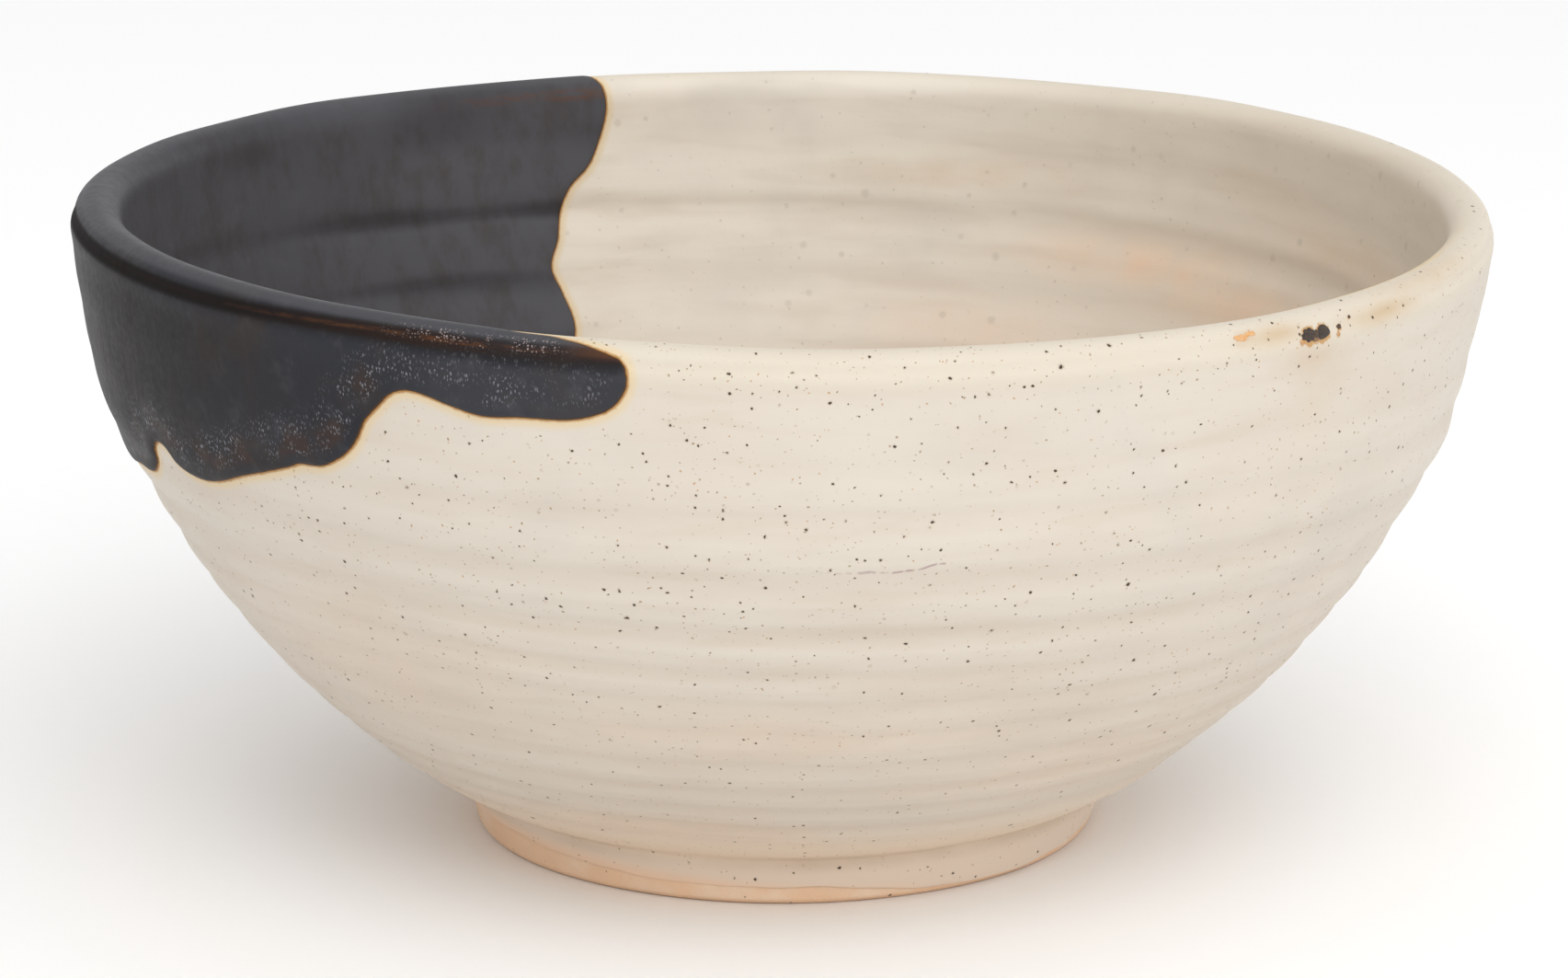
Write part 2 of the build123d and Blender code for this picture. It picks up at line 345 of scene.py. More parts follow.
def edge_distance(angles, ways):
    """How far each grid point is from the dark glaze's edge: positive inside it. Angles are degrees,
    one for each column. Distances are taken on the smooth section."""
    line = turned(*section_at(EDGE[:, 1]), np.radians(EDGE[:, 0]))
    tree = KDTree(len(line))
    for index, point in enumerate(line):
        tree.insert(point, index)
    tree.balance()
    points = turned(*section_at(ways), np.radians(angles)[:, None]).reshape(-1, 3)
    nearest = np.array([tree.find(point)[1] for point in points])
    distance = np.full(len(points), np.inf)
    for step in (-1, 0):
        start = line[(nearest + step) % len(line)]
        along = line[(nearest + step + 1) % len(line)] - start
        share = ((points - start) * along).sum(1) / (along**2).sum(1)
        foot = start + np.clip(share, 0, 1)[:, None] * along
        distance = np.minimum(distance, np.linalg.norm(points - foot, axis=1))
    sign = np.where(inside_edge(angles, ways), 1, -1)
    return sign * distance.reshape(ways.shape)


# ---- meshes
def face_outwards(mesh):
    """Turns a closed mesh's faces over if they face inwards."""
    shape = bmesh.new()
    shape.from_mesh(mesh)
    if shape.calc_volume(signed=True) < 0:
        mesh.flip_normals()
    shape.free()


def mesh_piece(name, points, faces, normals=None, values=None):
    """A smooth mesh object from points in millimetres. Values are numbers kept at each point."""
    mesh = bpy.data.meshes.new(name)
    mesh.from_pydata((points * MM).tolist(), [], faces)
    for key, numbers in (values or {}).items():
        attribute = mesh.attributes.new(key, "FLOAT", "POINT")
        attribute.data.foreach_set("value", np.asarray(numbers, np.float32).ravel())
    face_outwards(mesh)
    mesh.shade_smooth()
    if normals is not None:
        mesh.normals_split_custom_set_from_vertices(normals.tolist())
    piece = bpy.data.objects.new(name, mesh)
    bpy.context.scene.collection.objects.link(piece)
    return piece


def lathe_faces(rows, columns, poles):
    """Quads between the rows of a turned grid, numbered row by row. With poles, each end row fans
    to a point numbered after the grid's own. Without them, the last row joins the first."""
    faces = []
    for row in range(rows - 1 if poles else rows):
        here, there = row * columns, (row + 1) % rows * columns
        for column in range(columns):
            beside = (column + 1) % columns
            faces.append((here + column, here + beside, there + beside, there + column))
    if poles:
        first, end = rows * columns, (rows - 1) * columns
        for column in range(columns):
            beside = (column + 1) % columns
            faces.append((first, beside, column))
            faces.append((first + 1, end + column, end + beside))
    return faces


def lathe_piece(name, rows, normals=None, values=None, poles=None, pole_values=None):
    """A closed solid from rows of points round the axis: a ring, or with two poles a bowl. Where
    there are normals, the first pole's looks down and the last one's up. The poles' values are 0
    where pole_values has none."""
    points = rows.reshape(-1, 3)
    values = {key: numbers.ravel() for key, numbers in (values or {}).items()}
    if normals is not None:
        normals = normals.reshape(-1, 3)
    if poles is not None:
        points = np.vstack([points, poles])
        values = {k: np.concatenate([v, pole_values.get(k, (0, 0))]) for k, v in values.items()}
        if normals is not None:
            normals = np.vstack([normals, [(0, 0, -1), (0, 0, 1)]])
    faces = lathe_faces(len(rows), rows.shape[1], poles is not None)
    return mesh_piece(name, points, faces, normals, values)


COLUMNS = 360
COLUMN_ANGLES = np.arange(COLUMNS) * 360 / COLUMNS
HIDDEN_ROW_STEP = 4


# ---- the cream coats
# Height on the foot where the glaze outside ends: (angle, height), round the bowl
GLAZE_END = [
    (0, 1.2), (25, 2.3), (50, 1.7), (80, 2.2), (110, 2.9), (140, 1.9), (170, 2.4), (200, 3.3),
    (215, 3.1), (240, 2.2), (262, 1.9), (275, 2), (290, 1.2), (300, 0.7), (315, 0.6), (330, 1),
    (345, 1.6),
]
END_ROUND = 0.8
END_DROP = 0.24
# How far before its end the outside coat's last, close rows lie
END_ROWS = (1.05, 0.9, 0.75, 0.6, 0.45, 0.3, 0.18, 0.08, 0)
END_ZONE = 1.2
END_RIPPLE = 0.1
# Rows over the lip are close together down to this way, and spread evenly from there
LIP_ROW_STEP = 0.3
LIP_ROWS_END = 6
OUTSIDE_ROWS, INSIDE_ROWS = 146, 172
# The inside coat's last row lies this far from the middle of the floor, which is itself well
# clear of the dark glaze's edge
POLE_GAP = 1.5
FAR_OFF_DARK = -30
# Soft peach blushes in the cream: (angle, way, half width in degrees, half height, strength)
BLUSHES = [
    (322.5, 3.1, 5.2, 1.1, 0.8),
    (314.5, 8.5, 2.8, 4.5, 0.3),
    (313.5, 5.6, 3.2, 1.5, 0.45),
    (309.5, 2.7, 3.4, 1.1, 0.7),
    (331, 1.2, 9, 1.8, 0.45),
    (51, -20.5, 13, 2.6, 0.75),
    (37, -23, 12, 3, 0.7),
    (68, -30, 14, 4, 0.35),
    (60, -44, 22, 6, 0.7),
    (72, -12, 12, 2, 0.35),
    (20, -14, 14, 2.5, 0.4),
    (268, 46, 20, 4, 0.2),
    (230, 40, 16, 8, 0.18),
    (305, 56, 18, 5, 0.18),
    (255, 66, 24, 3, 0.25),
    (150, 52, 20, 7, 0.35),
    (60, 48, 22, 6, 0.35),
    (95, 30, 10, 5, 0.3),
]


def blush(angles, ways):
    """Strength of the peach blushes over a grid. Angles are degrees, one for each column."""
    total = np.zeros(ways.shape)
    for angle, way, half_width, half_height, strength in BLUSHES:
        away = (angles - angle + 180) % 360 - 180
        spot = bell(away, 0, half_width)[:, None] * bell(ways, way, half_height)
        total = np.maximum(total, strength * spot)
    return total


def periodic(angles, points):
    """A smooth closed curve of values through (angle, value) points, at angles in degrees."""
    places, numbers = np.array(points, float).T
    before, after = np.roll(numbers, 1), np.roll(numbers, -1)
    gap_before = (places - np.roll(places, 1)) % 360
    gap_after = (np.roll(places, -1) - places) % 360
    slope = (after - before) / (gap_before + gap_after)
    index = np.searchsorted(places, np.mod(angles, 360), "right") - 1
    following = (index + 1) % len(places)
    gap = gap_after[index]
    t = (np.mod(angles, 360) - places[index]) / gap
    bend = t * (1 - t) * gap * ((1 - t) * slope[index] - t * slope[following])
    return numbers[index] + eased(t) * (numbers[following] - numbers[index]) + bend


def coat(top_ways, lift):
    """A cream coat's rows, normals and values: up its hidden side, then down the visible one."""
    angles = np.radians(COLUMN_ANGLES)[:, None]
    hidden_ways = top_ways[:, ::HIDDEN_ROW_STEP][:, ::-1]
    ways = np.hstack([hidden_ways, top_ways])
    rows = [surface(angles, hidden_ways, -COAT), surface(angles, top_ways, lift)]
    normals = [-surface_normals(angles, hidden_ways), surface_normals(angles, top_ways)]
    rows, normals = (np.concatenate(v, axis=1).transpose(1, 0, 2) for v in (rows, normals))
    values = {
        "way": ways.T,
        "ring": relief(angles, ways).T,
        "edge": edge_distance(COLUMN_ANGLES, ways).T,
        "blush": blush(COLUMN_ANGLES, ways).T,
    }
    return rows, normals, values


def outside_cream_glaze():
    """The coat outside, from the lip's crown to its wavy, rounded end on the foot."""
    end = outside_way(periodic(COLUMN_ANGLES, GLAZE_END))
    ripple = np.sin(np.radians(COLUMN_ANGLES * 23)) * np.sin(np.radians(COLUMN_ANGLES * 7))
    end = (end + END_RIPPLE * ripple)[:, None]
    near = np.tile(np.arange(0, LIP_ROWS_END, LIP_ROW_STEP), (COLUMNS, 1))
    far = LIP_ROWS_END + np.linspace(0, 1, OUTSIDE_ROWS) * (end - END_ZONE - LIP_ROWS_END)
    ways = np.hstack([near, far, end - END_ROWS])
    left = np.clip(1 - (end - ways) / END_ROUND, 0, 1)
    lift = -END_DROP * (1 - np.sqrt(1 - left**2))
    return lathe_piece("cream_glaze_outside", *coat(ways, lift))


def inside_cream_glaze():
    """The coat inside, from the lip's crown to the middle of the floor."""
    near = -np.arange(0, LIP_ROWS_END, LIP_ROW_STEP)
    far = np.linspace(-LIP_ROWS_END, FLOOR_WAY + POLE_GAP, INSIDE_ROWS)
    ways = np.tile(np.concatenate([near, far]), (COLUMNS, 1))
    middle = surface(0, FLOOR_WAY)
    poles = np.array([middle - (0, 0, COAT), middle])
    at_poles = {"way": (FLOOR_WAY, FLOOR_WAY), "edge": (FAR_OFF_DARK, FAR_OFF_DARK)}
    return lathe_piece("cream_glaze_inside", *coat(ways, 0), poles, at_poles)


# ---- the poured dark glaze
DARK_ANGLES = np.arange(105, 261, 0.5)
DARK_WAYS = np.concatenate([np.arange(-75, -5, 0.62), np.arange(-5, 5, 0.3), np.arange(5, 30, 0.45)])
DARK_SINK = 0.15
DARK_THINNEST, DARK_THICKENS = 0.13, 0.2
ROLL_WIDTH = 1
ROLL_LEVELS = (0, 0.05, 0.18, 0.42, 0.75)


def dark_thickness(ways):
    """How thick the dark glaze lies: thin over the lip, where it ran off, and thick further down."""
    return DARK_THINNEST + DARK_THICKENS * eased(progress(np.abs(ways), 2.5, 9.5))


def split_polygons(polygons, numbers, points, level):
    """Cuts polygons along the line where their corners' numbers equal level. New corners are added
    to numbers and points, and shared by the polygons on both sides of an edge."""
    cuts = {}

    def cut(a, b):
        key = (min(a, b), max(a, b))
        if key not in cuts:
            share = (level - numbers[key[0]]) / (numbers[key[1]] - numbers[key[0]])
            start, end = points[key[0]], points[key[1]]
            points.append(tuple(s + share * (e - s) for s, e in zip(start, end)))
            numbers.append(level)
            cuts[key] = len(points) - 1
        return cuts[key]

    result = []
    for polygon in polygons:
        sides = [numbers[corner] - level for corner in polygon]
        if min(sides) >= 0 or max(sides) <= 0:
            result.append(polygon)
            continue
        above, below = [], []
        for index, corner in enumerate(polygon):
            following = (index + 1) % len(polygon)
            if sides[index] >= 0:
                above.append(corner)
            if sides[index] <= 0:
                below.append(corner)
            if sides[index] * sides[following] < 0:
                middle = cut(corner, polygon[following])
                above.append(middle)
                below.append(middle)
        result += [above, below]
    return result


def dark_patch():
    """The dark glaze's polygons over a grid, cut along its edge and along lines inside the edge.
    Returns the polygons, each corner's distance from the edge, and its (degrees, way)."""
    count = len(DARK_WAYS)
    grid = np.tile(DARK_WAYS, (len(DARK_ANGLES), 1))
    numbers = edge_distance(DARK_ANGLES, grid).ravel().tolist()
    points = [(a, w) for a in DARK_ANGLES.tolist() for w in DARK_WAYS.tolist()]
    polygons = []
    for column in range(len(DARK_ANGLES) - 1):
        for corner in range(column * count, column * count + count - 1):
            polygons.append([corner, corner + 1, corner + count + 1, corner + count])
    for level in ROLL_LEVELS:
        polygons = split_polygons(polygons, numbers, points, level)
        polygons = [p for p in polygons if max(numbers[c] for c in p) > 0]
    return polygons, np.array(numbers), np.array(points)


def dark_glaze():
    """The dark glaze as a closed layer with a rolled edge, let a little way into the cream."""
    polygons, numbers, points = dark_patch()
    used = sorted({corner for polygon in polygons for corner in polygon})
    renumber = {corner: index for index, corner in enumerate(used)}
    polygons = [[renumber[c] for c in polygon] for polygon in polygons]
    distance, place = np.maximum(numbers[used], 0), points[used]
    angle, way = np.radians(place[:, 0]), place[:, 1]
    roll = 1 - np.clip(distance / ROLL_WIDTH, 0, 1)
    lift = dark_thickness(way) * np.sqrt(1 - roll**2)
    top, under = surface(angle, way, lift), surface(angle, way, -DARK_SINK)
    count = len(top)
    edges = dict.fromkeys((a, b) for p in polygons for a, b in zip(p, p[1:] + p[:1]))
    sides = [(b, a, a + count, b + count) for a, b in edges if (b, a) not in edges]
    faces = polygons + [[c + count for c in reversed(p)] for p in polygons] + sides
    values = {"way": way, "edge": distance, "ring": relief(angle, way), "arc": angle * RIM_RADIUS}
    values = {key: np.concatenate([number, number]) for key, number in values.items()}
    normals = vertex_normals(top, polygons)
    normals = np.vstack([normals, -normals])
    return mesh_piece("dark_glaze_pour", np.vstack([top, under]), faces, normals, values)


def vertex_normals(points, polygons):
    """Area-weighted normals of an open patch of polygons."""
    total = np.zeros_like(points)
    for size in sorted({len(p) for p in polygons}):
        group = np.array([p for p in polygons if len(p) == size])
        corners = points[group]
        normal = np.cross(corners, np.roll(corners, -1, axis=1)).sum(axis=1)
        for corner in range(size):
            np.add.at(total, group[:, corner], normal)
    return total / np.linalg.norm(total, axis=1, keepdims=True)


# ---- iron spots by the lip
# (angle, way, half width, half height, thickness, rust): rust 0 is black iron, 1 is orange
SPOTS = [
    (312.9, 3.4, 0.98, 0.66, 0.07, 0),
    (314.5, 3.4, 1, 0.66, 0.08, 0),
    (313.7, 3.45, 0.4, 0.42, 0.06, 0.05),
    (312.1, 3.95, 0.34, 0.28, 0.02, 0.75),
    (313.6, 3.95, 0.4, 0.24, 0.03, 0.3),
    (316.4, 3.25, 0.3, 0.3, 0.04, 0.05),
    (316.2, 4, 0.24, 0.24, 0.02, 0.7),
    (317.8, 2.55, 0.15, 0.17, 0.03, 0),
    (306.1, 2.4, 0.85, 0.32, 0.015, 1),
    (307, 2.15, 0.66, 0.22, 0.015, 1),
]
SPOT_RINGS = 6
SPOT_COLUMNS = 28
SPOT_SINK = 0.1
SPOT_STEP = 0.04
SPOT_WAVES = (2, 3, 5, 8)
SPOT_UNEVEN = 0.13


def iron_spots():
    """Beads of melted iron let into the glaze, each an uneven low dome over a flat base."""
    draw = random.Random(5)
    turn = np.arange(SPOT_COLUMNS) / SPOT_COLUMNS * math.tau
    share = (np.arange(SPOT_RINGS) + 1) / SPOT_RINGS
    shares = np.concatenate([share, share[::-1]])[:, None]
    shell = lathe_faces(len(shares), SPOT_COLUMNS, True)
    points, faces, rust = np.empty((0, 3)), [], []
    for degrees, way, half_width, half_height, thickness, tint in SPOTS:
        reach = np.ones(SPOT_COLUMNS)
        for k in SPOT_WAVES:
            size, phase = draw.uniform(-SPOT_UNEVEN, SPOT_UNEVEN), draw.uniform(0, math.tau)
            reach += size * np.sin(k * turn + phase)
        angle = math.radians(degrees)
        angles = angle + shares * np.cos(turn) * reach * half_width / RIM_RADIUS
        dome = SPOT_STEP + thickness * np.sqrt(1 - share**2)
        lift = np.concatenate([dome, np.full(SPOT_RINGS, -SPOT_SINK)])[:, None]
        rows = surface(angles, way + shares * np.sin(turn) * reach * half_height, lift)
        poles = surface(angle, way, np.array([SPOT_STEP + thickness, -SPOT_SINK]))
        faces += [[len(points) + corner for corner in face] for face in shell]
        points = np.vstack([points, rows.reshape(-1, 3), poles])
        rust += [tint] * (len(points) - len(rust))
    return mesh_piece("iron_beads", points, faces, None, {"rust": rust})


# ---- the clay under the glaze
FOOT_EDGE_ROUND = 0.9
FOOT_INNER_RADIUS = 25.5
FOOT_INNER_TAPER = 1
FOOT_BASE_RADIUS = FOOT_CLAY_RADIUS - 0.6
FOOT_COLUMNS = 240
FOOT_ANGLES = np.radians(np.arange(FOOT_COLUMNS) * 360 / FOOT_COLUMNS)
SEAT_ROWS = 34
TURNING_STEP, TURNING_HEIGHT = 2.1, 0.12
NUB_HEIGHT, NUB_REACH = 0.5, 5


def stoneware_body():
    """The thrown wall and floor, a coat's depth under the glaze, with a turned seat underneath."""
    lowest = outside_way(FOOT_TOP) - 0.35
    # Rows up the inside, over the lip and down the outside: (first way, last way, how many)
    spans = [(FLOOR_WAY + 3, -4, 70), (-3.5, 3.5, 15), (4, lowest, 70)]
    ways = np.concatenate([np.linspace(*span) for span in spans])
    wall = surface(FOOT_ANGLES, ways[:, None], -COAT)
    radius = np.linspace(FOOT_CLAY_RADIUS - 0.2, 1, SEAT_ROWS)[:, None]
    marks = TURNING_HEIGHT * np.sin(math.tau * radius / TURNING_STEP + FOOT_ANGLES)
    marks = marks * progress(radius, 0, 6) * (radius < FOOT_INNER_RADIUS - 2)
    seat = turned(radius, FOOT_TOP + marks - NUB_HEIGHT * bell(radius, 0, NUB_REACH), FOOT_ANGLES)
    rows = np.concatenate([wall, seat])
    poles = np.array([surface(0, FLOOR_WAY, -COAT), (0, 0, FOOT_TOP - NUB_HEIGHT)])
    return lathe_piece("stoneware_body", rows[:, ::-1], None, None, poles, {})


def foot_ring():
    """The turned foot: slightly tapered walls, and base edges rounded by a damp sponge."""
    edge = FOOT_EDGE_ROUND
    outer_turn, inner_turn = FOOT_BASE_RADIUS - edge, FOOT_INNER_RADIUS + edge
    inner_top = FOOT_INNER_RADIUS - FOOT_INNER_TAPER
    turn = np.radians(np.linspace(0, 90, 7))[1:]
    outer_edge = np.column_stack([outer_turn + edge * np.cos(turn), edge * (1 - np.sin(turn))])
    inner_edge = np.column_stack([inner_turn - edge * np.sin(turn), edge * (1 - np.cos(turn))])
    outer_wall = np.linspace((FOOT_CLAY_RADIUS, FOOT_TOP), (FOOT_BASE_RADIUS, edge), 9)
    base = np.linspace((outer_turn, 0), (inner_turn, 0), 9)[1:]
    inner_wall = np.linspace((FOOT_INNER_RADIUS, edge), (inner_top, FOOT_TOP), 7)[1:]
    top = np.linspace((inner_top, FOOT_TOP), (FOOT_CLAY_RADIUS, FOOT_TOP), 6)[1:-1]
    section = np.vstack([outer_wall, outer_edge, base, inner_edge, inner_wall, top])
    radius, height = section[:, :1], section[:, 1:]
    wobble = 0.05 * np.sin(3 * FOOT_ANGLES + 1) + 0.04 * np.sin(7 * FOOT_ANGLES + height)
    out = radius + wobble * (height < FOOT_TOP - 0.5)
    return lathe_piece("foot_ring_clay", turned(out, height, FOOT_ANGLES))


# ---- materials
class Nodes:
    """Adds nodes to a tree."""

    def __init__(self, tree):
        self.tree = tree

    def node(self, kind, *values, **settings):
        """A node with its settings made, and its first inputs filled in order."""
        node = self.tree.nodes.new(kind)
        for key, value in settings.items():
            setattr(node, key, value)
        for socket, value in zip(node.inputs, values):
            self.put(socket, value)
        return node

    def put(self, socket, value):
        """Links a socket's value, or sets it where it is a plain number or colour."""
        if isinstance(value, bpy.types.NodeSocket):
            self.tree.links.new(value, socket)
        elif isinstance(value, tuple) and len(value) == 3 and socket.type == "RGBA":
            socket.default_value = (*value, 1)
        else:
            socket.default_value = value


class Shader(Nodes):
    """Builds a material from nodes. Lengths in it are millimetres."""

    def __init__(self, name, colour=None):
        self.material = bpy.data.materials.new(name)
        self.material.use_nodes = True
        super().__init__(self.material.node_tree)
        self.bsdf = self.tree.nodes["Principled BSDF"]
        object_place = self.node("ShaderNodeTexCoord").outputs["Object"]
        self.place = self.scaled(object_place, (1 / MM, 1 / MM, 1 / MM))
        self.colour = colour

    def number(self, operation, *values):
        return self.node("ShaderNodeMath", *values, operation=operation).outputs[0]

    def gap(self, first, second):
        """How far apart two numbers are."""
        return self.number("ABSOLUTE", self.number("SUBTRACT", first, second))

    def times(self, first, *factors):
        """The product of all the values."""
        for factor in factors:
            first = self.number("MULTIPLY", first, factor)
        return first

    def plus(self, first, *terms):
        """The sum of all the values."""
        for term in terms:
            first = self.number("ADD", first, term)
        return first

    def scaled(self, vector, scales):
        return self.node("ShaderNodeVectorMath", vector, scales, operation="MULTIPLY").outputs[0]

    def moved(self, vector, offset):
        return self.node("ShaderNodeVectorMath", vector, offset, operation="ADD").outputs[0]

    def away(self, first, second):
        """The distance between two places."""
        node = self.node("ShaderNodeVectorMath", first, second, operation="DISTANCE")
        return node.outputs["Value"]

    def axis(self, name):
        """The place's X, Y or Z."""
        return self.node("ShaderNodeSeparateXYZ", self.place).outputs[name]

    def channel(self, colour, number):
        return self.node("ShaderNodeSeparateColor", colour).outputs[number]

    def value(self, name):
        """A number kept at the mesh's points."""
        return self.node("ShaderNodeAttribute", attribute_name=name).outputs["Fac"]

    def noise(self, size, detail=2, rough=0.5, warp=0, at=None, output="Fac"):
        """Noise from 0 to 1 whose features are about size across, over the place or a vector."""
        node = self.node("ShaderNodeTexNoise")
        self.put(node.inputs["Vector"], self.place if at is None else at)
        node.inputs["Scale"].default_value = 1 / size
        node.inputs["Detail"].default_value = detail
        node.inputs["Roughness"].default_value = rough
        node.inputs["Distortion"].default_value = warp
        return node.outputs[output]

    def cells(self, vector, size, dimensions="3D"):
        """Scattered points about size apart: the distance to the nearest, and its random colour."""
        node = self.node("ShaderNodeTexVoronoi", voronoi_dimensions=dimensions)
        self.put(node.inputs["Vector"], vector)
        node.inputs["Scale"].default_value = 1 / size
        return self.times(node.outputs["Distance"], size), node.outputs["Color"]

    def ramp(self, value, low, high, start, end, kind="LINEAR"):
        """A straight ramp from start to end as value goes from low to high."""
        node = self.node("ShaderNodeMapRange", value, low, high, start, end, interpolation_type=kind)
        return node.outputs[0]

    def step(self, value, low, high, start=0, end=1):
        """A ramp that eases in and out."""
        return self.ramp(value, low, high, start, end, "SMOOTHSTEP")

    def band(self, value, rise, top, fall, end):
        """0 up to rise, 1 from top to fall, and 0 again from end."""
        return self.times(self.step(value, rise, top), self.step(value, end, fall))

    def round_rim(self, arc, first, last, start=0, end=1):
        """A step between two angles round the bowl, in degrees. Arc is the attribute of that name."""
        low, high = math.radians(first) * RIM_RADIUS, math.radians(last) * RIM_RADIUS
        return self.step(arc, low, high, start, end)

    def dot(self, distance, radius, core):
        """1 within a share, core, of a dot's radius, falling to 0 at the radius."""
        return self.step(distance, self.times(radius, core), radius, 1, 0)

    def shaken(self, vector, size, amount, at=None):
        """A vector moved by noise, by up to amount along each axis."""
        noise = self.noise(size, 1, at=at, output="Color")
        return self.moved(vector, self.scaled(noise, (amount, amount, amount)))

    def frayed(self, value, size, amount):
        """A value made uneven by noise, by up to amount either way."""
        return self.plus(value, self.ramp(self.noise(size), 0, 1, -amount, amount))

    def mix(self, factor, first, second):
        node = self.node("ShaderNodeMix", factor, data_type="RGBA")
        self.put(node.inputs[6], first)
        self.put(node.inputs[7], second)
        return node.outputs[2]

    def paint(self, paint, *strengths):
        """Lays paint over the colour so far, as strongly as the product of the strengths."""
        self.colour = self.mix(self.times(*strengths), self.colour, paint)

    def finish(self, roughness, height, **constants):
        """Wires the colour, roughness and relief to the shader, and sets its constants."""
        self.put(self.bsdf.inputs["Base Color"], self.colour)
        self.put(self.bsdf.inputs["Roughness"], roughness)
        bump = self.node("ShaderNodeBump")
        bump.inputs["Distance"].default_value = MM
        self.put(bump.inputs["Height"], height)
        self.put(self.bsdf.inputs["Normal"], bump.outputs[0])
        for key, value in constants.items():
            self.bsdf.inputs[key.replace("_", " ")].default_value = value
        return self.material


SPECK_CORE = 0.56
STAIN_REACH = 1.7


def specks(s, size, smallest, largest, kept, offset):
    """Round specks with slightly uneven outlines: a core mask, a wider soft mask, and each speck's
    random colour. Kept, a number or a socket, is the share of them that show."""
    place = s.shaken(s.place, 0.35, 0.3, s.moved(s.place, (offset, 3, 5)))
    distance, colour = s.cells(s.moved(place, (offset - 0.15, offset * 0.7 - 0.15, 1.85)), size)
    present = s.number("LESS_THAN", s.channel(colour, 0), kept)
    radius = s.ramp(s.channel(colour, 1), 0, 1, smallest, largest)
    core = s.times(s.dot(distance, radius, SPECK_CORE), present)
    stain = s.dot(distance, s.times(radius, STAIN_REACH), SPECK_CORE / STAIN_REACH)
    return core, s.times(stain, present), colour


CREAM_LIGHT = (0.644, 0.587, 0.51)
CREAM_LIP = (0.638, 0.575, 0.477)
CREAM_POOL_AND_SHADE = (0.56, 0.465, 0.375)
CREAM_GREY = (0.58, 0.535, 0.475)
PEACH = (0.8, 0.555, 0.385)
TAN = (0.52, 0.372, 0.213)
INSIDE_CREAM_LIT = (0.755, 0.692, 0.6)
INSIDE_SHADE_WARM = (0.58, 0.475, 0.35)
FOOT_WARM_LIT = (0.82, 0.66, 0.508)
FOOT_PALE_LIT = (0.745, 0.61, 0.495)
FOOT_VALLEY_SHADE = (0.5, 0.38, 0.27)
IRON_HALO = (0.47, 0.23, 0.045)
IRON_SPECK = (0.024, 0.014, 0.007)
SPECK_STAIN = (0.3, 0.2, 0.1)
RUST_SPECK = (0.47, 0.26, 0.12)
SOFT_SPECK = (0.36, 0.3, 0.24)
HALO_AMBER = (0.36, 0.17, 0.04)
HALO_YELLOW = (0.68, 0.52, 0.29)
IRON_LINE = (0.27, 0.14, 0.17)


def speckle(s, inside):
    """The cream's specks: many faint small ones, sharp dark ones, and a few large. Returns a mask
    of the dark ones."""
    strength = 0.13 if inside else 1
    crowd = s.ramp(s.noise(16, at=s.moved(s.place, (4, 4, 4))), 0.3, 0.7, 0.75, 1.15)
    if not inside:
        more_above = s.step(s.axis("Z"), 6, 46, 0.68, 1.06)
        more_in_front = s.step(s.axis("Y"), -45, -66, 1, 1.28)
        crowd = s.times(crowd, more_above, more_in_front)
    faint, _, faint_colour = specks(s, 0.6, 0.05, 0.14, s.times(crowd, 0.66), 7)
    faint_tone = s.mix(s.step(s.channel(faint_colour, 2), 0.7, 0.8), SPECK_STAIN, RUST_SPECK)
    faint_strength = s.ramp(s.channel(faint_colour, 1), 0, 1, 0.25 * strength, 0.85 * strength)
    s.paint(faint_tone, faint, faint_strength)
    bold, stain, _ = specks(s, 1.15, 0.08, 0.19, s.times(crowd, 0.55), 19)
    s.paint(SPECK_STAIN, stain, 0.4 * strength)
    s.paint(IRON_SPECK, bold, 0.95 * strength)
    large, stain, _ = specks(s, 3.4, 0.15, 0.27, 0.46, 43)
    s.paint(SPECK_STAIN, stain, 0.45 * strength)
    s.paint(IRON_SPECK, large, 0.97 * strength)
    return s.plus(bold, large)


def iron_line(s):
    """A fine broken purple-brown line of iron on the front of the wall."""
    across = s.axis("X")
    middle = s.frayed(s.step(across, 11, 15.5, 44.2, 44.9), 3, 0.35)
    line = s.times(s.step(s.gap(s.axis("Z"), middle), 0.19, 0.04), s.band(across, 0.5, 11, 14.8, 15.8))
    broken = s.step(s.noise(0.6, at=s.scaled(s.place, (1, 1, 0.3))), 0.42, 0.6)
    s.paint(IRON_LINE, line, broken, s.step(s.axis("Y"), 0, -20, 0, 0.6))


def cream_by_foot(s, cloud):
    """The outside coat near the foot: warmer, lighter as painted light from below, and darker in the
    valley over the foot as painted shade. Returns a mask of the peach flush along its end, which is
    higher on the left and faint right of the middle."""
    height, across = s.axis("Z"), s.axis("X")
    # Painted light: lighter and warmer towards the foot; the warmth is the glaze's own, the lightness
    # is painted light from below
    foot_painted_light = s.mix(s.step(height, 4.3, 5.4), FOOT_PALE_LIT, FOOT_WARM_LIT)
    s.paint(foot_painted_light, s.step(height, 13, 5.2, 0, 0.85))
    clouded = s.step(cloud, 0.35, 0.65, 0.12, 0.5)
    # Painted shade: darker, brown toned, in the valley between wall and foot
    s.paint(FOOT_VALLEY_SHADE, s.band(height, 3.2, 4.7, 5.3, 6.6), clouded)
    pale = s.times(s.band(across, 11, 15.5, 26, 30), s.step(s.axis("Y"), -5, -15))
    slanted = s.plus(height, s.ramp(across, -33, 33, -2.8, 1.6))
    return s.times(s.step(slanted, 2.4, 0.7, 0, 0.85), s.ramp(pale, 0, 1, 1, 0.15))


def bead_halos(s):
    """The brown rings that the iron beads burnt into the cream."""
    for degrees, way, half_width, _, _, tint in SPOTS:
        middle = tuple(surface(math.radians(degrees), way + 0.12).tolist())
        away = s.frayed(s.away(s.place, middle), 0.4, 0.35)
        halo = s.step(away, half_width + 0.14, half_width * 0.85, 0, 0.8 - 0.7 * tint)
        s.paint(IRON_HALO, halo)


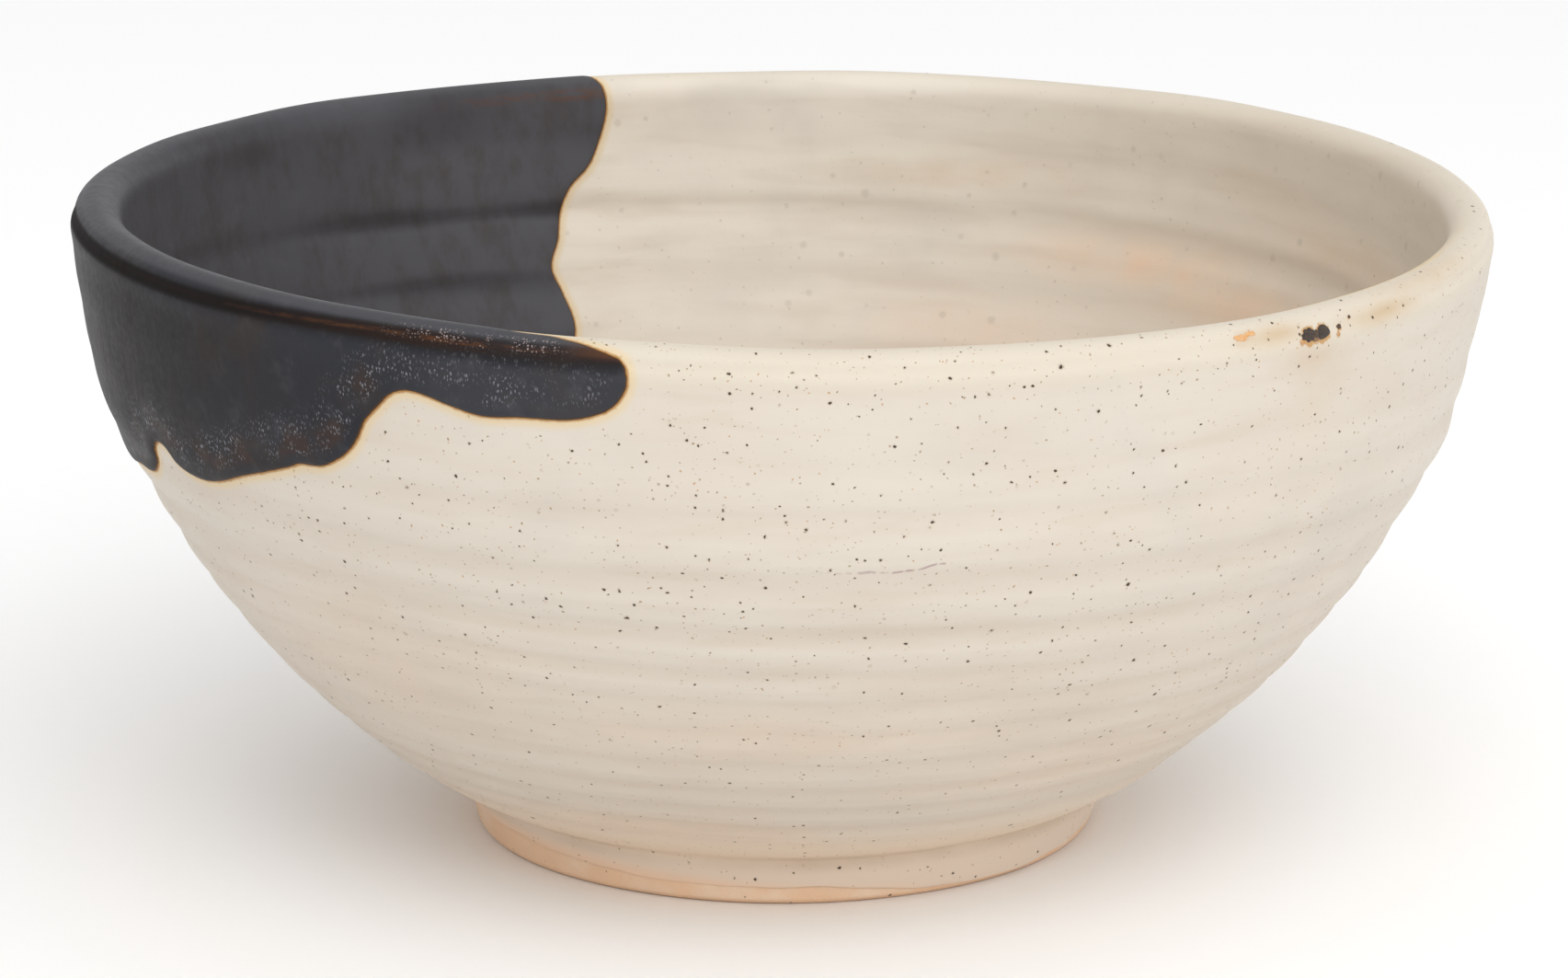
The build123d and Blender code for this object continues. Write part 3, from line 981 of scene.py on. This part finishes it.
def cream_material(name, inside):
    """Satin cream glaze: pooled warmer between the rings, darker towards the foot as painted shade,
    with iron specks burnt through.
    """
    # Painted light: the inside coat starts from a lighter cream than the outside coat, a lit copy of
    # the same glaze
    s = Shader(name, INSIDE_CREAM_LIT if inside else CREAM_LIGHT)
    ring, edge, way, blushed = (s.value(key) for key in ("ring", "edge", "way", "blush"))
    cloud = s.noise(15, 3, 0.55)
    bands = s.noise(1, 2, 0.5, 0.5, at=s.scaled(s.place, (0.06, 0.06, 0.36)))
    fine_bands = s.noise(1, at=s.scaled(s.place, (0.12, 0.12, 1.3)))
    # Outside, darker and warmer towards the foot: painted shade, as the wall faces down there. Inside,
    # darker and warmer deeper in the bowl
    low = s.step(way, -6, -34, 0, 0.2) if inside else s.step(s.axis("Z"), 46, 8, 0, 0.43)
    in_valleys = s.step(ring, 0.14, -0.2, 0, 0.3)
    banded = s.plus(s.step(bands, 0.42, 0.72, 0, 0.32), s.step(fine_bands, 0.4, 0.75, 0, 0.06))
    pooled_and_shaded = s.plus(in_valleys, banded, low)
    # Warmer where glaze pools between the rings, in random bands, plus the painted shade low down
    s.paint(CREAM_POOL_AND_SHADE, pooled_and_shaded, 0.8)
    s.paint(CREAM_GREY, s.step(cloud, 0.5, 0.78, 0, 0.45))
    if inside:
        # Painted shade: the inside's right wall, facing away from the light, is darker and warmer, with
        # a warm painted reflection
        s.paint(INSIDE_SHADE_WARM, s.step(s.axis("X"), 10, 60, 0, 0.45))
    s.paint(CREAM_LIP, s.band(way, -2.5, 0, 4.4, 5.6), 0.75)
    blotch = s.noise(5, at=s.moved(s.place, (9, 0, 4)))
    flushed = s.times(blushed, s.step(blotch, 0.25, 0.7, 0.45, 1))
    if not inside:
        flushed = s.number("MAXIMUM", flushed, cream_by_foot(s, cloud))
    flush = s.mix(s.step(s.gap(way, 0), 10, 16), TAN, PEACH)
    s.paint(flush, flushed)
    if not inside:
        bead_halos(s)
    rim_line = s.times(s.band(way, -2.4, -1.5, -0.6, -0.15), s.step(s.axis("Y"), -5, -30))
    s.paint(HALO_YELLOW, rim_line, s.step(blotch, 0.3, 0.6, 0.2, 0.7))
    if inside:
        soft = specks(s, 3, 0.22, 0.42, 0.55, 31)[1]
        s.paint(SOFT_SPECK, soft, 0.26)
    else:
        iron_line(s)
    pits = speckle(s, inside)
    near = s.frayed(edge, 0.6, 0.1)
    s.paint(HALO_YELLOW, s.step(near, -1.3, -0.15, 0, 0.75))
    s.paint(HALO_AMBER, s.step(near, -0.3, -0.04, 0, 0.9))
    grain = s.noise(0.9, 3, 0.6)
    rough = s.plus(s.ramp(grain, 0.2, 0.8, 0.5, 0.66), s.step(cloud, 0.4, 0.7, -0.05, 0.05))
    waves = s.plus(s.times(s.noise(3.5), 0.04), s.times(fine_bands, 0.01))
    bump = s.plus(s.times(grain, 0.01), waves, s.times(pits, -0.012))
    return s.finish(rough, bump, IOR=1.5, Specular_IOR_Level=0.3)


DARK_BASE = (0.025, 0.026, 0.032)
DARK_BROWN = (0.036, 0.028, 0.026)
DARK_HAZE_AND_SHEEN = (0.082, 0.082, 0.09)
DARK_INSIDE_LIT = (0.084, 0.084, 0.094)
DARK_CREASE = (0.009, 0.0065, 0.006)
DARK_STAIN = (0.063, 0.056, 0.056)
DARK_RUST = (0.05, 0.026, 0.017)
RUST = (0.12, 0.046, 0.018)
THIN_RUST = (0.08, 0.036, 0.012)
CRYSTAL = (0.3, 0.31, 0.35)
FLECK_PINK = (0.45, 0.36, 0.34)


def dark_lip(s, way, arc, flat):
    """The lip: lighter on its crown as a painted highlight, near-black in the crease under it as
    painted shade, with a fine rusty line, and pale flecks near the tongue. Returns the crease's mask."""
    # Painted highlight: lighter on the lip's crown
    s.paint(DARK_HAZE_AND_SHEEN, s.band(way, -2, -0.5, 1.2, 2), 0.6)
    middle = s.round_rim(arc, 215, 240, 3, 2.4)
    crease = s.step(s.gap(way, middle), 1.05, 0.4)
    crease = s.times(crease, s.round_rim(arc, 242, 251, 1, 0.48))
    # Painted shade: near-black in the crease under the lip
    s.paint(DARK_CREASE, crease, 0.87)
    s.paint(DARK_RUST, crease, s.round_rim(arc, 222, 250), 0.35)
    drift = s.ramp(s.noise(1, 1, at=s.scaled(flat, (0.08, 0.2, 1))), 0, 1, -0.35, 0.15)
    line = s.step(s.gap(way, s.plus(middle, drift)), 0.3, 0.06)
    streaks = s.step(s.noise(1, 3, 0.65, at=s.scaled(flat, (0.3, 1.6, 1))), 0.36, 0.62)
    strength = s.times(s.round_rim(arc, 220, 243, 0.03, 0.6), s.round_rim(arc, 253, 246, 0.3, 1))
    s.paint(RUST, line, streaks, strength)
    s.paint(RUST, s.round_rim(arc, 253, 257.4), s.step(way, 3, 2), 0.55)
    back = s.times(s.band(way, -4, -3.2, -2.8, -2), s.round_rim(arc, 128, 112, 0, 0.45))
    s.paint(RUST, back, streaks)
    distance, fleck_colour = s.cells(s.shaken(flat, 0.3, 0.2), 0.3, "2D")
    fleck = s.dot(distance, s.ramp(s.channel(fleck_colour, 1), 0, 1, 0.03, 0.13), 0.4)
    crowd = s.step(s.noise(1.3), 0.4, 0.56)
    zone = s.times(s.band(way, 0.9, 1.4, 2.2, 2.9), s.round_rim(arc, 238, 244))
    zone = s.times(zone, s.round_rim(arc, 255, 252))
    s.paint(FLECK_PINK, fleck, crowd, zone, 0.7)
    return crease


def crystals(s, flat, edge, arc, outer):
    """Short pale dashes down the wall, crowded in a band above the glaze's lower edge: a mask."""
    stretched = s.scaled(s.shaken(flat, 0.5, 0.35), (1, 0.45, 1))
    distance, colour = s.cells(stretched, 0.28, "2D")
    shown = s.number("LESS_THAN", s.channel(colour, 0), 0.85)
    dash = s.dot(distance, s.ramp(s.channel(colour, 1), 0, 1, 0.04, 0.125), 0.3)
    crowd = s.step(s.noise(2.2, at=s.moved(s.place, (1, 5, 2))), 0.36, 0.58)
    zone = s.times(s.band(edge, 0.6, 1.8, 3, 6.4), crowd, outer)
    fewer_on_tongue = s.round_rim(arc, 246, 255, 1, 0.55)
    strength = s.ramp(s.channel(colour, 2), 0, 1, 0.15, 0.78)
    return s.times(dash, shown, zone, fewer_on_tongue, strength)


def dark_material():
    """Satin gunmetal glaze that breaks to rust where it is thin, with pale crystals where thick."""
    s = Shader("dark_glaze_satin", DARK_BASE)
    ring, edge, way, arc = (s.value(key) for key in ("ring", "edge", "way", "arc"))
    flat = s.node("ShaderNodeCombineXYZ", arc, way, 0).outputs[0]
    outer, inside = s.step(way, 2, 6), s.step(way, 0.6, -1.4)
    across = s.axis("X")
    runs = s.noise(1, 3, 0.6, 0.4, at=s.scaled(flat, (0.4, 0.1, 1)))
    cloud = s.noise(9, 3, 0.6)
    s.paint(DARK_BROWN, s.step(cloud, 0.45, 0.75))
    s.paint(DARK_HAZE_AND_SHEEN, s.step(runs, 0.5, 0.8, 0, 0.12))
    # The wall inside is painted paler, a lit copy of the glaze as painted light, with brown stains, and
    # darkens towards the left
    s.paint(DARK_INSIDE_LIT, inside, 0.92)
    stain = s.noise(1, 4, 0.65, at=s.scaled(flat, (0.22, 0.13, 1)))
    s.paint(DARK_STAIN, s.step(stain, 0.42, 0.68, 0, 0.75), inside)
    s.paint(DARK_BASE, s.step(across, -34, -66, 0, 0.45), inside)
    mottle = s.step(s.noise(3, 3, 0.65, at=s.moved(s.place, (2, 2, 7))), 0.5, 0.8, 0, 0.4)
    s.paint(DARK_HAZE_AND_SHEEN, mottle)
    s.paint(DARK_CREASE, s.step(ring, 0.05, -0.25, 0, 0.6))
    # Painted shade: the outer wall near-black towards the far left
    s.paint(DARK_CREASE, s.step(across, -44, -66, 0, 0.85), outer)
    crease = dark_lip(s, way, arc, flat)
    # Rust patches in the lobes, and a pale haze round the notch, just above the lower edge
    lobes = s.times(s.band(edge, 0.6, 1.8, 2.5, 5), outer)
    patches = s.step(s.noise(3.5, at=s.moved(s.place, (3, 8, 1))), 0.42, 0.66, 0, 0.55)
    s.paint(DARK_RUST, lobes, patches, s.round_rim(arc, 240, 234, 0.3, 1))
    hazed = s.step(s.noise(2.5, 3, 0.6), 0.35, 0.65, 0, 0.45)
    s.paint(DARK_HAZE_AND_SHEEN, lobes, s.round_rim(arc, 218, 209), hazed)
    s.paint(DARK_HAZE_AND_SHEEN, s.round_rim(arc, 238, 247), s.step(way, 3.6, 4.6), 0.22)
    dash = crystals(s, flat, edge, arc, outer)
    s.paint(CRYSTAL, dash)
    # Thin edge: the cream shows through as amber, then rust, then the full dark
    near = s.frayed(edge, 0.6, 0.08)
    s.paint(THIN_RUST, s.step(near, 0.3, 0.05, 0, 0.7))
    s.paint(HALO_AMBER, s.step(near, 0.08, 0, 0, 0.9))
    grain = s.noise(0.7, 3, 0.6)
    rough = s.plus(s.ramp(grain, 0.2, 0.8, 0.4, 0.54), s.step(runs, 0.4, 0.8, 0, 0.06))
    rough = s.plus(rough, s.times(crease, 0.4))
    bump = s.plus(s.times(grain, 0.01), s.times(runs, 0.02), s.times(dash, 0.02))
    return s.finish(rough, bump, IOR=1.5, Specular_IOR_Level=0.12)


CLAY_PEACH = (0.8, 0.545, 0.363)
CLAY_PALE = (0.82, 0.63, 0.47)
CLAY_BURNT = (0.72, 0.42, 0.23)
GROG_DARK = (0.12, 0.06, 0.03)
GROG_PALE = (0.8, 0.66, 0.5)


def clay_material(name):
    """Bare stoneware, flashed orange by the fire, with iron specks and fine grog."""
    s = Shader(name, CLAY_PEACH)
    cloud = s.noise(6, 3, 0.6)
    s.paint(CLAY_PALE, s.step(cloud, 0.35, 0.7))
    scorched = s.step(s.axis("Z"), 0.8, 0.1)
    s.paint(CLAY_BURNT, scorched, s.step(cloud, 0.3, 0.7, 0.1, 0.7))
    s.paint(IRON_SPECK, specks(s, 1.6, 0.1, 0.22, 0.4, 57)[0], 0.8)
    grog, _, grog_colour = specks(s, 0.9, 0.05, 0.13, 0.6, 13)
    grog_tone = s.mix(s.step(s.channel(grog_colour, 2), 0.4, 0.6), GROG_DARK, GROG_PALE)
    s.paint(grog_tone, grog, 0.6)
    grain = s.noise(0.35, 3, 0.7)
    rough = s.ramp(grain, 0.2, 0.8, 0.78, 0.92)
    bump = s.plus(s.times(grain, 0.05), s.times(s.noise(1.4), 0.06))
    return s.finish(rough, bump, Specular_IOR_Level=0.25)


BEAD_BLACK = (0.018, 0.012, 0.008)
BEAD_BROWN = (0.07, 0.035, 0.018)
BEAD_ORANGE = (0.62, 0.3, 0.105)
BEAD_PALE = (0.68, 0.43, 0.22)
PAPER_LIGHT = (0.96, 0.96, 0.96)
PAPER_GREY = (0.94, 0.94, 0.94)


def iron_material():
    """Melted iron: black-brown beads, and two that only stained the glaze orange."""
    s = Shader("iron_bead")
    grain = s.noise(0.25, 3, 0.6)
    black = s.mix(s.step(grain, 0.4, 0.7), BEAD_BLACK, BEAD_BROWN)
    orange = s.mix(s.step(grain, 0.35, 0.7), BEAD_ORANGE, BEAD_PALE)
    s.colour = s.mix(s.value("rust"), black, orange)
    return s.finish(s.ramp(grain, 0.2, 0.8, 0.38, 0.6), s.times(grain, 0.03), IOR=1.5)


def paper_material():
    """The studio's white paper floor."""
    s = Shader("studio_paper", PAPER_LIGHT)
    grain = s.noise(1.2, 3, 0.6)
    s.paint(PAPER_GREY, grain)
    return s.finish(0.9, s.times(grain, 0.01), Specular_IOR_Level=0.1)


# ---- studio, in metres and watts
CAMERA_PLACE = (0, -0.575, 0.1826)
CAMERA_TARGET = (0, 0, 0.0346)
CAMERA_LENS = 131.2
CAMERA_NEAREST = 0.01
# (name, place, width and depth, power, colour)
LAMPS = [
    ("key", (0.18, -0.9, 0.85), (0.9, 0.9), 6.5, (1, 0.995, 0.98)),
    ("fill", (-0.9, -0.2, 0.9), (0.9, 0.7), 0.5, (0.98, 0.99, 1)),
]
LAMP_TARGET = (0, 0, 0.04)
# The studio's light by the sine of its elevation: a pale horizon, a darker room and a bright ceiling
SKY = [(0, 1), (0.12, 0.92), (0.3, 0.5), (0.6, 0.5), (0.85, 0.85), (1, 0.9)]
SKY_STRENGTH = 1.28
SKY_RIGHTWARD = 0.23
# The paper floor's half width, and its height a hair under the foot, in millimetres
PAPER_HALF, PAPER_HEIGHT = 1600, -0.02


def aimed(name, data, place, target):
    """A lamp or camera at a place, looking at a target."""
    thing = bpy.data.objects.new(name, data)
    bpy.context.scene.collection.objects.link(thing)
    thing.location = place
    direction = Vector(target) - thing.location
    thing.rotation_euler = direction.to_track_quat("-Z", "Y").to_euler()
    return thing


def add_camera():
    camera = bpy.data.cameras.new("camera")
    camera.lens, camera.clip_start = CAMERA_LENS, CAMERA_NEAREST
    bpy.context.scene.camera = aimed("camera", camera, CAMERA_PLACE, CAMERA_TARGET)


def add_lamp(name, place, size, power, colour):
    lamp = bpy.data.lights.new(name, "AREA")
    lamp.shape = "RECTANGLE"
    lamp.size, lamp.size_y = size
    lamp.energy, lamp.color = power, colour
    aimed(name, lamp, place, LAMP_TARGET)


def add_sky():
    """Surrounds the bowl with the studio's light, a little stronger from the right."""
    world = bpy.data.worlds.new("studio")
    bpy.context.scene.world = world
    world.use_nodes = True
    sky = Nodes(world.node_tree)
    direction = sky.node("ShaderNodeTexCoord").outputs["Generated"]
    parts = sky.node("ShaderNodeSeparateXYZ", direction).outputs
    ramp = sky.node("ShaderNodeValToRGB", parts["Z"])
    for place, _ in SKY[1:-1]:
        ramp.color_ramp.elements.new(place)
    for element, (place, light) in zip(ramp.color_ramp.elements, SKY):
        element.position = place
        element.color = (light, light, light, 1)
    slope = SKY_RIGHTWARD * SKY_STRENGTH
    strength = sky.node("ShaderNodeMath", parts["X"], slope, SKY_STRENGTH, operation="MULTIPLY_ADD")
    background = sky.tree.nodes["Background"]
    sky.put(background.inputs["Color"], ramp.outputs[0])
    sky.put(background.inputs["Strength"], strength.outputs[0])


def add_floor():
    corners = np.array([(-1, -1), (1, -1), (1, 1), (-1, 1)]) * PAPER_HALF
    points = np.column_stack([corners, np.full(4, PAPER_HEIGHT)])
    floor = mesh_piece("studio_floor", points, [(0, 1, 2, 3)])
    floor.data.materials.append(paper_material())


# ---- assembly
def fit(piece, material, slot, *nodes):
    """Gives a piece its material, and lets it stand for CAD nodes on the bowl's one body."""
    piece.data.materials.append(material)
    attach(piece, "root")
    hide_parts(*nodes)


add_camera()
add_sky()
for lamp_values in LAMPS:
    add_lamp(*lamp_values)
add_floor()
bpy.context.scene.view_settings.view_transform = "Standard"
fit(stoneware_body(), clay_material("stoneware_turned"), "stoneware", "thrown_bowl")
fit(foot_ring(), clay_material("stoneware_foot"), "stoneware", "foot_ring")
fit(outside_cream_glaze(), cream_material("cream_outside", False), "cream_glaze", "outside_cream_glaze")
fit(inside_cream_glaze(), cream_material("cream_inside", True), "cream_glaze", "inside_cream_glaze")
fit(dark_glaze(), dark_material(), "dark_glaze", "dark_glaze")
fit(iron_spots(), iron_material(), "iron_spot", "iron_spots")
